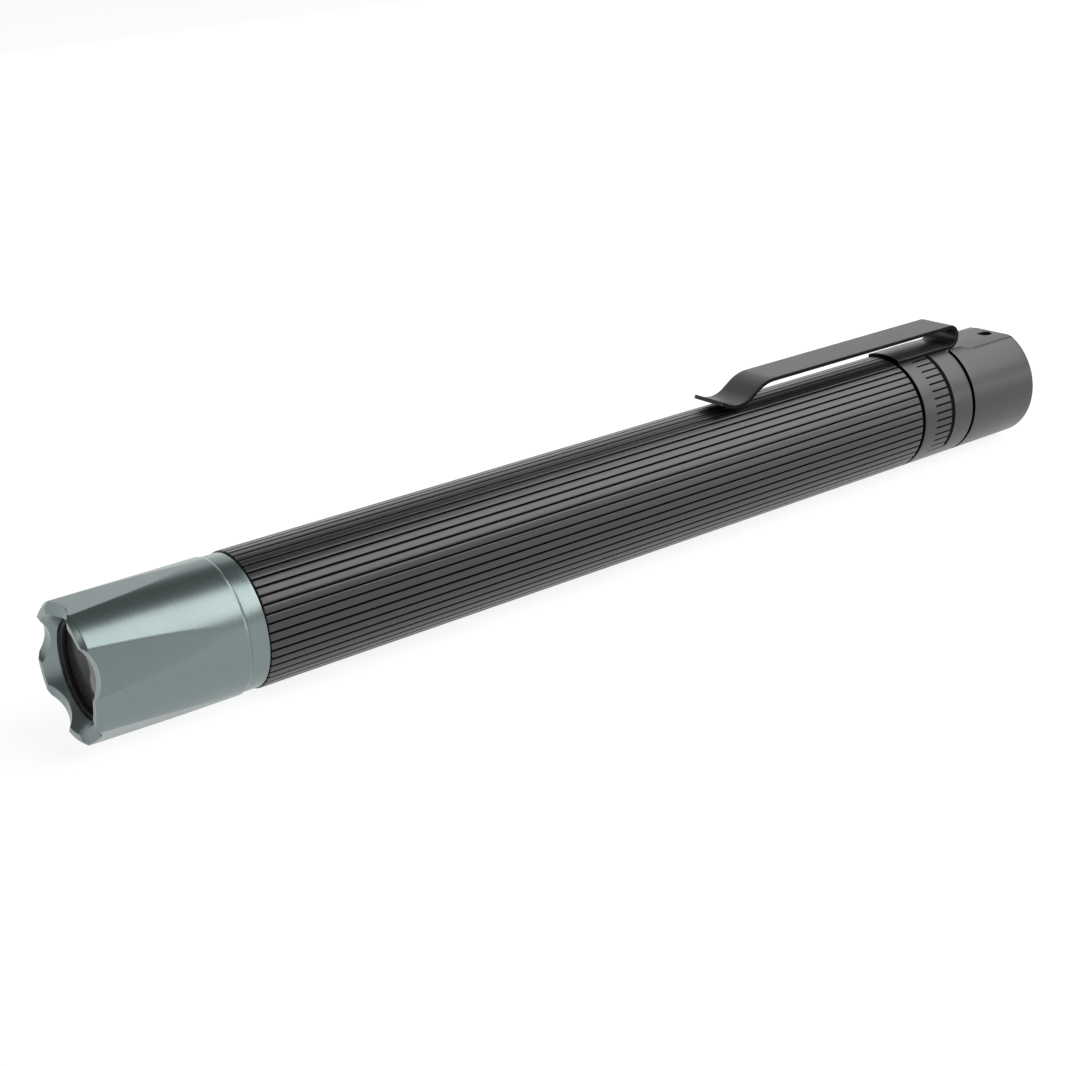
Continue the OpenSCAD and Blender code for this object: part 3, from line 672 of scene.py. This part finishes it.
def makeCollar():
    c = collar
    start = along("tail_collar", -1)
    half = c["sealSeatW"] / 2
    near, edge = c["nearMark"], c["markEdge"]
    ringMiddle = (c["ringFront"] + c["ringBack"]) / 2
    # rows of points that give the ring a V section and the ticks a short slope at their front ends
    marks = [(x, bodyR) for x in (c["ringBack"] + near + edge, c["ringBack"] + near, ringMiddle,
                                  c["ringFront"] - near, c["ringFront"] - near - edge,
                                  c["tickFront"] + near, c["tickFront"] - near)]
    corners = [
        (start, c["boreR"], 0.1), (c["seatX"], c["boreR"]), (c["seatX"], c["seatR"]),
        (c["sleeveEnd"], c["seatR"], 0.08), (c["sleeveEnd"], c["sleeveR"], 0.1),
        (capFront, c["sleeveR"]), (capFront, c["gapR"]), (c["bandBack"], c["gapR"]),
        (c["bandBack"], bodyR, 0.1), *marks, (c["bandFront"], bodyR, 0.1), (c["bandFront"], c["gapR"]),
        (tubeBack, c["gapR"]), (tubeBack, c["spigotR"]), (c["sealX"] + half, c["spigotR"]),
        (c["sealX"] + half, c["sealSeatR"]), (c["sealX"] - half, c["sealSeatR"]),
        (c["sealX"] - half, c["spigotR"]), (start, c["spigotR"], 0.1),
    ]
    outline = divided(filleted(corners), collarStep)
    slotOutline = [(c["slotFront"], -c["slotHalf"]), (capFront + 1, -c["slotHalf"]),
                   (capFront + 1, c["slotHalf"]), (c["slotFront"], c["slotHalf"])]
    reach = math.asin(c["slotHalf"] / c["seatUnderLegR"])
    arc = [(c["seatUnderLegR"] * math.sin(s), c["seatUnderLegR"] * math.cos(s))
           for s in np.linspace(-reach, reach, 40)]
    section = arc + [(c["slotHalf"], bodyR + 1), (-c["slotHalf"], bodyR + 1)]
    seatPoints = [(x, y, h) for x in (c["bandFront"] - 0.2, c["slotFront"] + 0.3) for y, h in section]
    count = len(section)
    seatFaces = gridFaces(2, count, False, True) + [tuple(range(count)), tuple(range(count, 2 * count))]
    cutters = [planCutter("slotCutter", slotOutline, flatTop, bodyR),
               looseMesh("seatCutter", seatPoints, seatFaces)]
    # The ticks, the ring, the gaps at the band's ends and the seat under the clip's leg get the near-black
    # finish: painted shade
    paintedShadeBand = (finishes["paintedGrooveShade"], c["gapR"] - 0.05, bodyR - 0.08, tubeBack, capFront)
    piece = turnedPiece("tickedCollar", outline, grooveAngles(), "tail",
                        finishes["tailAnodised"], collarAllShape, cutters=cutters, paintedShadeBand=paintedShadeBand)
    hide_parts("tail_collar")


makeCollar()
print("collar made")

# Cap: round shell with the flat, the rest of the clip's slot and the lanyard hole
cap = {
    "boreR": 7.26, "frontEdge": 0.06, "rearEdge": 0.4, "rimR": 6.2, "rimX": tailEnd - 3.7, "holeR": 4.56,
    "wallX": tailEnd - 6.2, "cavityR": 6.6, "sleeveEnd": capFront + 4.06, "sealX": tailEnd - 4.95,
    "sealHalf": 0.55, "sealSeatR": 5.44, "slotHalf": 3.15, "roundX": capFront + 5.8, "roundR": 4.45,
    "lanyardX": tailEnd - 1.85, "lanyardR": 1.1, "lanyardDepth": 2.0, "softFrom": capFront + 4.65,
    "softEdge": 0.09, "step": 1.2, "sides": 288, "holeSides": 48,
}


def capShape(x, r, a):
    c = cap
    near = np.cos(a) > 0.5
    flatR = (flatTop + 0.006) / np.where(near, np.cos(a), 1)
    soft = softMin(r, flatR, c["softEdge"])
    return x, np.where(near & (x > c["softFrom"]) & (r > bodyR - 0.5), soft, r)


def makeCap():
    c = cap
    marks = [(x, bodyR) for x in (c["softFrom"] + 0.05, c["softFrom"] - 0.05)]
    corners = [
        (capFront, c["boreR"], 0.05), (c["sleeveEnd"], c["boreR"]), (c["sleeveEnd"], c["cavityR"]),
        (c["wallX"], c["cavityR"]), (c["wallX"], c["holeR"], 0.05),
        (c["sealX"] - c["sealHalf"], c["holeR"]), (c["sealX"] - c["sealHalf"], c["sealSeatR"]),
        (c["sealX"] + c["sealHalf"], c["sealSeatR"]), (c["sealX"] + c["sealHalf"], c["holeR"]),
        (c["rimX"], c["holeR"], 0.1), (c["rimX"], c["rimR"], 0.12), (tailEnd, c["rimR"], 0.12),
        (tailEnd, bodyR - c["rearEdge"], 0.08), (tailEnd - c["rearEdge"], bodyR, 0.3), *marks,
        (capFront + c["frontEdge"], bodyR, 0.03), (capFront, bodyR - c["frontEdge"], 0.03),
    ]
    outline = divided(filleted(corners), c["step"])
    turn = math.asin(c["slotHalf"] / c["roundR"])
    arc = [(c["roundX"] - c["roundR"] * math.cos(t), c["roundR"] * math.sin(t))
           for t in np.linspace(turn, math.pi / 2, 22)]
    side = [(capFront - 1, c["slotHalf"])] + arc + [(tailEnd + 1, c["roundR"])]
    plan = [(x, -y) for x, y in side] + [(x, y) for x, y in reversed(side)]
    hole = [(c["lanyardX"] + c["lanyardR"] * math.cos(t), c["lanyardR"] * math.sin(t))
            for t in evenAngles(c["holeSides"])]
    flatCutter = planCutter("flatCutter", plan, flatTop, bodyR)
    holeCutter = planCutter("holeCutter", hole, flatTop - c["lanyardDepth"], flatTop)
    # The cap's front face and chamfer, seen in the gap to the collar, get the near-black finish: painted
    # shade in the gap
    paintedShadeBand = (finishes["paintedGrooveShade"], c["boreR"], bodyR - 0.01, capFront - 0.01, capFront + 0.04)
    piece = turnedPiece("tailCap", outline, evenAngles(c["sides"]), "tail",
                        finishes["tailAnodised"], capShape, cutters=[flatCutter, holeCutter], paintedShadeBand=paintedShadeBand)
    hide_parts("tail_cap")


makeCap()
print("cap made")

# Button: a ridged rubber cap on a shoulder and a hub
button = {"end": along("tail_button", 1), "r": 4.5, "shoulderX": tailEnd - 7.8, "wallX": cap["wallX"],
          "shoulderR": 5.7, "hubX": along("tail_button", -1), "hubR": 2.5, "edge": 0.5, "dish": 0.25,
          "ridges": 5, "ridgeDepth": 0.09, "plainShare": 0.1, "sides": 128}


def makeButton():
    b = button
    crown = []
    for r in np.linspace(0.01, b["r"] - b["edge"], 60):
        share = r / (b["r"] - b["edge"])
        wave = 0.5 - 0.5 * math.cos(2 * math.pi * b["ridges"] * share)
        dip = b["dish"] * (1 - share ** 2) ** 2
        ridge = b["ridgeDepth"] * (1 - wave) if share > b["plainShare"] else 0
        crown.append((b["end"] - dip - ridge, r))
    corners = [(b["end"], b["r"], b["edge"]), (b["wallX"], b["r"], 0.1), (b["wallX"], b["shoulderR"], 0.1),
               (b["shoulderX"], b["shoulderR"], 0.1), (b["shoulderX"], b["hubR"], 0.2),
               (b["hubX"], b["hubR"], 0.1), (b["hubX"], 0.01)]
    outline = crown + filleted([crown[-1]] + corners + [crown[0]])[1:-1]
    piece = turnedPiece("pushButton", outline, evenAngles(b["sides"]), "button",
                        finishes["buttonRubber"])
    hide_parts("tail_button")


makeButton()
print("button made")

# Clip: one folded spring strip, from the leg that lies round the collar, round the bend, to the lip
clip = {
    "thick": 0.56, "bendX": capFront + 0.56, "bendR": 1.89, "crestR": 6.2, "noseX": capFront - 43.56,
    "noseTop": 9.41, "noseR": 4.4, "slope": 33, "lipSlope": 26, "lipLen": 1.5,
    "legFront": collar["bandFront"], "legR": 8.68, "flatFrom": capFront - 2.8, "edge": 0.05,
    "cornerR": 0.7, "flexReach": 1.4, "footFront": capFront - 2.76, "footBack": capFront - 0.45,
    "footHalf": 2.0, "footEdge": 0.08,
}


# Middle line of the strip as (x, h), from the leg's front end to the lip's tip
def clipLine():
    c = clip
    t = c["thick"] / 2
    slope, lipSlope = math.radians(c["slope"]), math.radians(c["lipSlope"])
    bendH = clipTop - c["bendR"]
    noseMidH = c["noseTop"] + c["noseR"]
    crestMidH = clipTop - c["crestR"]
    drop = clipTop - c["noseTop"] - (c["crestR"] + c["noseR"]) * (1 - math.cos(slope))
    crestX = c["noseX"] + (c["crestR"] + c["noseR"]) * math.sin(slope) + drop / math.tan(slope)
    line = [(x, bendH - c["bendR"] + t) for x in np.linspace(c["legFront"], c["bendX"], 70)[:-1]]
    for s in np.linspace(-90, 90, 49):
        r = c["bendR"] - t
        line.append((c["bendX"] + r * math.cos(math.radians(s)), bendH + r * math.sin(math.radians(s))))
    line += [(x, clipTop - t) for x in np.linspace(c["bendX"], crestX, 60)[1:-1]]
    for s in np.linspace(0, slope, 14):
        r = c["crestR"] - t
        line.append((crestX - r * math.sin(s), crestMidH + r * math.cos(s)))
    for s in np.linspace(slope, -lipSlope, 24):
        r = c["noseR"] + t
        line.append((c["noseX"] + r * math.sin(s), noseMidH - r * math.cos(s)))
    tipX, tipH = line[-1]
    for s in np.linspace(0, c["lipLen"], 14)[1:]:
        line.append((tipX - s * math.cos(lipSlope), tipH + s * math.sin(lipSlope)))
    return np.array(line)


# The strip's section as (side, distance from the edge, height off the middle line), anticlockwise
def clipSection():
    t, e = clip["thick"] / 2, clip["edge"]
    section = []
    for upper in (1, -1):
        for k in range(-8, 9):
            section.append((-upper * k / 8, e, upper * t))
        for k in range(1, 4):
            turn = math.radians(90 * k / 4)
            section.append((-upper, e * (1 - math.sin(turn)), upper * (t - e * (1 - math.cos(turn)))))
        section.append((-upper, 0, upper * (t - e)))
        section.append((-upper, 0, -upper * (t - e)))
        for k in range(1, 4):
            turn = math.radians(90 * k / 4)
            section.append((-upper, e * (1 - math.cos(turn)), -upper * (t - e * (1 - math.sin(turn)))))
    return section


def makeClip():
    c = clip
    line = clipLine()
    step = np.gradient(line, axis=0)
    step /= np.linalg.norm(step, axis=1)[:, None]
    normal = np.stack([step[:, 1], -step[:, 0]], axis=1)
    gone = np.concatenate([[0], np.cumsum(np.linalg.norm(np.diff(line, axis=0), axis=1))])
    left = np.clip(c["cornerR"] - (gone[-1] - gone), 0, c["cornerR"])
    half = clipHalf - c["cornerR"] + np.sqrt(np.maximum(c["cornerR"] ** 2 - left ** 2, 0))
    isLeg = gone < c["bendX"] - c["legFront"]
    wrap = np.where(isLeg, 1 - ramp(line[:, 0], c["flatFrom"], c["bendX"]), 0)
    section = clipSection()
    points = []
    for i, (x, h) in enumerate(line):
        for side, inset, n in section:
            y = side * (half[i] - inset)
            # normal points down on the leg, so a height off the line is -n there
            crown = math.sqrt((c["legR"] + c["thick"] / 2 - n) ** 2 - min(abs(y), clipHalf) ** 2) - (h - n)
            points.append((x + normal[i, 0] * n, y, h + normal[i, 1] * n + wrap[i] * crown))
    cols = len(section)
    last = (len(line) - 1) * cols
    faces = gridFaces(len(line), cols, False, True)
    faces += [tuple(range(cols)), tuple(range(last, last + cols))]
    piece = meshPiece("clipStrip", points, faces, None, finishes["clipCoating"])
    piece.data.materials.append(finishes["paintedEdgeShade"])
    # The strip's sideways-facing faces and the leg's front end get the near-black finish: painted shade
    for face in piece.data.polygons:
        atFront = abs((face.center.x - rimX) / mm - c["legFront"]) < 0.02
        face.material_index = 1 if atFront or abs(face.normal.y) > 0.9 else 0
    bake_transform(piece)
    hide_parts("clip_arm", "clip_foot")


# The block between the leg and the floor of its slot
def makeFoot():
    c = clip
    legLow = clipTop - 2 * c["bendR"]
    rings = []
    for inset, h in ((c["footEdge"], flatTop), (0, flatTop + c["footEdge"]), (0, legLow)):
        x0, x1, y = c["footFront"] + inset, c["footBack"] - inset, c["footHalf"] - inset
        rings += [(x0, -y, h), (x1, -y, h), (x1, y, h), (x0, y, h)]
    faces = gridFaces(3, 4, False, True) + [(3, 2, 1, 0), (8, 9, 10, 11)]
    meshPiece("clipFootBlock", rings, faces, "tail", finishes["clipCoating"])


makeClip()
makeFoot()
print("clip made")

# Floor, light and camera
floor = {"r": 6.0, "wall": 1.28, "cove": 0.6, "below": 0.00002, "sides": 96, "glow": 0.88, "grey": 0.26}


# A round floor that turns up into a low wall all round
def makeFloor():
    f = floor
    outline = [(f["r"] - f["cove"] * (1 - math.sin(t)), f["cove"] * (1 - math.cos(t)))
               for t in np.linspace(0, math.pi / 2, 13)] + [(f["r"], f["wall"])]
    points = [(r * math.cos(a), r * math.sin(a), h - f["below"])
              for r, h in outline for a in evenAngles(f["sides"])]
    faces = [face[::-1] for face in gridFaces(len(outline), f["sides"], False, True)]
    mesh = bpy.data.meshes.new("floor")
    mesh.from_pydata(points, [], faces + [tuple(range(f["sides"]))])
    made = bpy.data.objects.new("floor", mesh)
    bpy.context.scene.collection.objects.link(made)
    material, nodes, links, shader = newMaterial("floorPaper")
    shader.inputs["Base Color"].default_value = (f["grey"], f["grey"], f["grey"], 1)
    shader.inputs["Roughness"].default_value = 0.9
    shader.inputs["Specular IOR Level"].default_value = 0.0
    shader.inputs["Emission Color"].default_value = (f["glow"], f["glow"], f["glow"], 1)
    path = nodes.new("ShaderNodeLightPath")
    seen = nodes.new("ShaderNodeMath")
    seen.operation = "MAXIMUM"
    seen.use_clamp = True
    links.new(path.outputs["Is Camera Ray"], seen.inputs[0])
    alsoSeen = nodes.new("ShaderNodeMath")
    alsoSeen.operation = "MAXIMUM"
    links.new(path.outputs["Is Glossy Ray"], alsoSeen.inputs[0])
    links.new(path.outputs["Is Transmission Ray"], alsoSeen.inputs[1])
    links.new(alsoSeen.outputs["Value"], seen.inputs[1])
    links.new(seen.outputs["Value"], shader.inputs["Emission Strength"])
    mesh.materials.append(material)


# Soft boxes with their long side along X: middle along X, distance from the axis, degrees from upright
# towards the viewer, size along X and across, and radiance
softBoxes = {
    "keyLamp": (0.75, 0.85, 35, 0.8, 0.7, 3.2),
    "bezelLamp": (0.22, 0.85, 37, 0.2, 0.82, 3.5),
    "topLamp": (0.7, 0.62, -1, 0.7, 0.27, 2.7),
    "backLamp": (0.5, 0.75, -64, 1.0, 0.58, 0.85),
    "bezelFillLamp": (0.22, 0.85, 76, 0.26, 0.3, 0.4),
    "tailFillLamp": (0.96, 0.85, 74, 0.72, 0.42, 1.6),
    "rimLamp": (-0.85, 0.52, -10, 0.16, 0.12, 7.5),
}


def addSoftBox(name, box):
    middle, distance, lean, length, width, radiance = box
    light = bpy.data.lights.new(name, "AREA")
    light.shape = "RECTANGLE"
    light.size, light.size_y = length, width
    light.energy = radiance * length * width * math.pi
    lamp = bpy.data.objects.new(name, light)
    turn = math.radians(lean)
    lamp.location = (middle, -distance * math.sin(turn), distance * math.cos(turn))
    lamp.rotation_euler = (turn, 0, 0)
    lamp.visible_camera = False
    bpy.context.scene.collection.objects.link(lamp)


makeFloor()
for name, box in softBoxes.items():
    addSoftBox(name, box)
worldGrey = 0.2
world = bpy.data.worlds.new("studio")
world.use_nodes = True
world.node_tree.nodes["Background"].inputs["Color"].default_value = (worldGrey, worldGrey, worldGrey, 1)
world.node_tree.nodes["Background"].inputs["Strength"].default_value = 1.0
bpy.context.scene.world = world

# The photo's view: the camera's place in metres, its right, up and backward directions, and its lens
photoView = {
    "place": (-0.14824, -0.19250, 0.09682),
    "right": (0.80146, -0.594525, -0.064820),
    "up": (0.260231, 0.249102, 0.932860),
    "backward": (-0.538462, -0.764518, 0.354359),
    "sensor": 36,
    "lens": 62.77,
}
cameraData = bpy.data.cameras.new("camera")
cameraData.sensor_width = photoView["sensor"]
cameraData.lens = photoView["lens"]
camera = bpy.data.objects.new("camera", cameraData)
turned = Matrix([photoView[side] for side in ("right", "up", "backward")]).transposed().to_4x4()
camera.matrix_world = Matrix.Translation(photoView["place"]) @ turned
bpy.context.scene.collection.objects.link(camera)
bpy.context.scene.camera = camera
bpy.context.scene.view_settings.view_transform = "Standard"
print("stage made")
